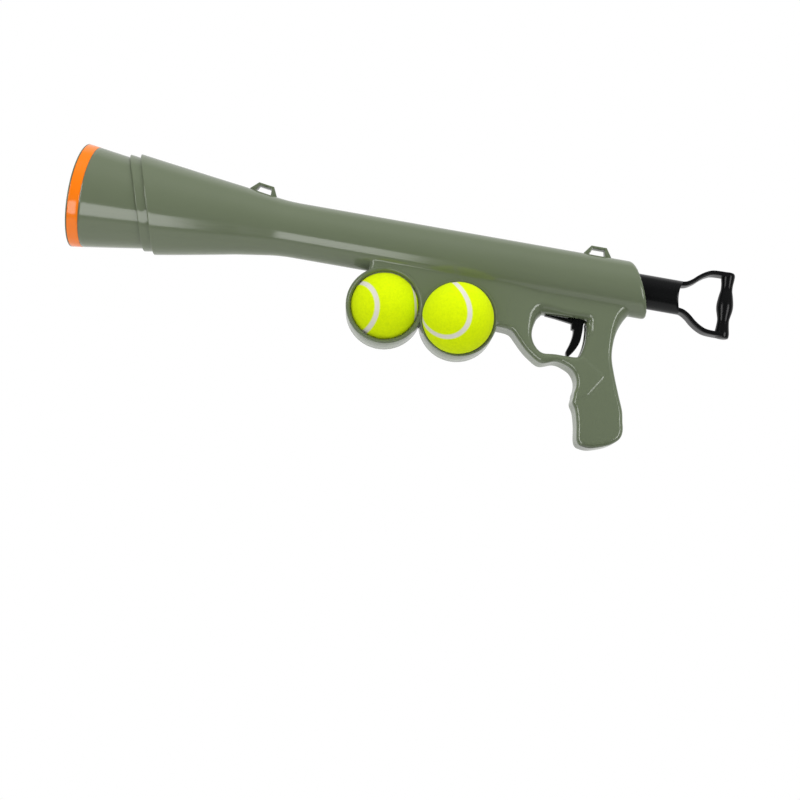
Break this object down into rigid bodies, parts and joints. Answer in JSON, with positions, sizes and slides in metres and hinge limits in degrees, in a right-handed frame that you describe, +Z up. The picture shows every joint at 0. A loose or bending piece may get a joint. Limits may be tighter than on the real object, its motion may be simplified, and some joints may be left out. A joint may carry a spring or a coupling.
{
  "type": "ball launcher",
  "caption": "Hand-cocked spring launcher for throwing felt balls: flared muzzle, round barrel, pistol grip with trigger, side ball rings and a rear D-handle.",
  "frame": {"origin": "middle of the flat base of the pistol grip, on the seam between the two shells", "axes": "+X along the barrel towards the pull handle (the muzzle points along -X), +Y towards the launcher's screw side, +Z up"},
  "size_m": [0.596, 0.1022, 0.194],
  "materials": {
    "green_plastic": "moulded, semi-gloss olive green",
    "orange_plastic": "bright orange, semi-gloss",
    "black_plastic": "moulded, semi-gloss black",
    "pale_plastic": "plain moulded",
    "rubber": "matt",
    "steel": "zinc plated",
    "felt": "yellow-green felt with a pale seam"
  },
  "bodies": {
    "root": {"left_shell": "green_plastic", "right_shell": "green_plastic", "muzzle_cone": "green_plastic", "muzzle_band": "orange_plastic", "barrel_liner": "pale_plastic", "spring_seat": "black_plastic", "buffer_ring": "rubber", "rear_bushing": "black_plastic", "trigger_pin": "steel", "sear_pin": "steel", "body_screw_1": "steel", "body_screw_2": "steel", "body_screw_3": "steel", "body_screw_4": "steel", "body_screw_5": "steel", "main_spring": "steel", "sear_spring": "steel", "trigger_spring": "steel"},
    "plunger": {"plunger_bumper": "rubber", "plunger_head": "black_plastic", "plunger_rod": "steel", "head_screw": "steel", "tube_plug": "black_plastic", "rod_nut": "steel", "pull_tube": "black_plastic", "pull_handle": "black_plastic", "handle_screw": "steel"},
    "trigger": {"trigger": "black_plastic"},
    "sear": {"sear": "steel"},
    "ball_1": {"ball_1": "felt"},
    "ball_2": {"ball_2": "felt"}
  },
  "joints": [
    {"name": "plunger_slide", "type": "slide", "parent": "root", "child": "plunger", "axis": [1, 0, 0], "range_m": [0, 0.1], "stiffness_N_per_m": 250, "springref_m": -0.04, "deforming": ["main_spring"]},
    {"name": "trigger_hinge", "type": "hinge", "parent": "root", "child": "trigger", "pos_m": [-0.02, 0, 0.1209], "axis": [0, -1, 0], "range_deg": [0, 12], "stiffness_Nm_per_rad": 0.05, "springref_deg": -17.19, "deforming": ["trigger_spring"]},
    {"name": "sear_hinge", "type": "hinge", "parent": "root", "child": "sear", "pos_m": [-0.026, 0, 0.1297], "axis": [0, -1, 0], "range_deg": [0, 8.1], "stiffness_Nm_per_rad": 0.02, "springref_deg": -17.19, "deforming": ["sear_spring"]},
    {"name": "ball_1_slide", "type": "slide", "parent": "root", "child": "ball_1", "axis": [0, 1, 0], "range_m": [0, 0.06]},
    {"name": "ball_2_slide", "type": "slide", "parent": "root", "child": "ball_2", "axis": [0, -1, 0], "range_m": [0, 0.06]}
  ],
  "couplings": [
    {"joint": "sear_hinge", "follows": "trigger_hinge", "ratio": 0.674}
  ]
}
